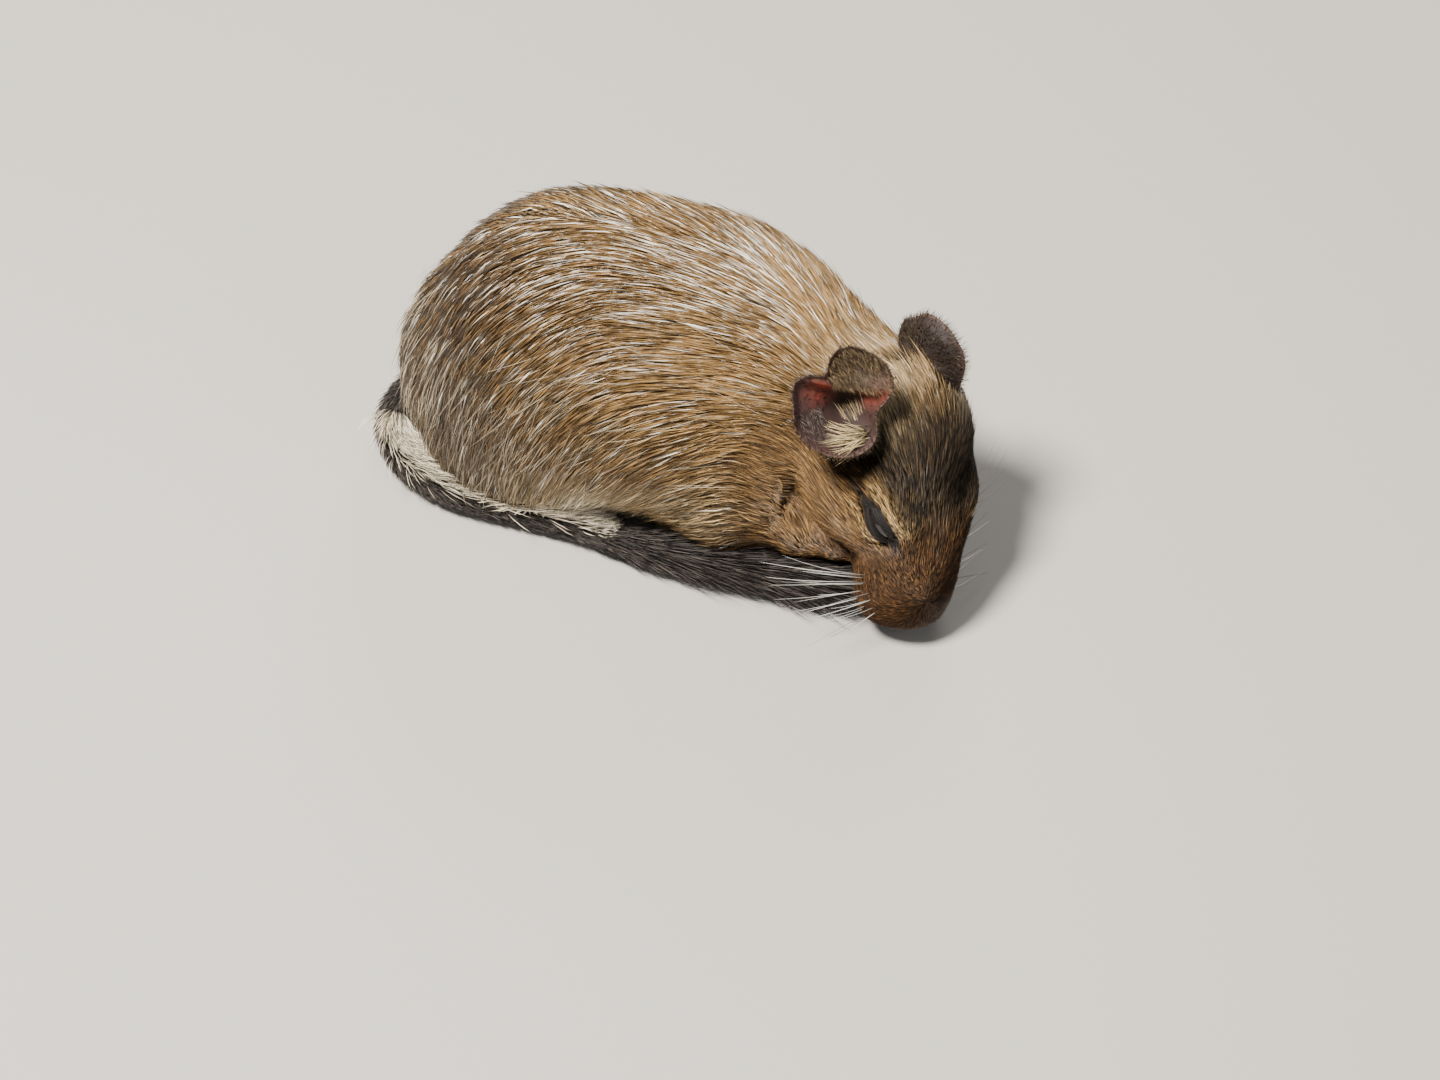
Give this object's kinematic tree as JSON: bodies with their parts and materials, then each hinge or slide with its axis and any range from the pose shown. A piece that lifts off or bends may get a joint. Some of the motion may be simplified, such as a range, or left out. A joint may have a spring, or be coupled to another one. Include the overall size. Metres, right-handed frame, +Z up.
{
  "type": "degu",
  "caption": "Life-size degu dozing in a crouch, head bowed to its right and the tufted tail wrapped round its flank",
  "frame": {"origin": "on the floor, under the middle of the whole animal's box", "axes": "+X from rump to head, +Y to the animal's left, +Z up"},
  "size_m": [0.1114, 0.0758, 0.0611],
  "materials": {
    "coat": "short streaked fur, matte",
    "ear_skin": "bare soft skin, matte",
    "eye": "wet gloss",
    "tail_coat": "coarse dark hair, matte"
  },
  "bodies": {
    "root": {"torso": "coat", "neck": "coat", "head": "coat", "hindleg_right": "coat", "foreleg_right": "coat", "eye_right": "eye", "hindleg_left": "coat", "foreleg_left": "coat", "eye_left": "eye", "ear_right": "ear_skin", "ear_left": "ear_skin", "tail_base": "tail_coat", "tail_middle": "tail_coat", "tail_brush": "tail_coat"}
  },
  "joints": []
}
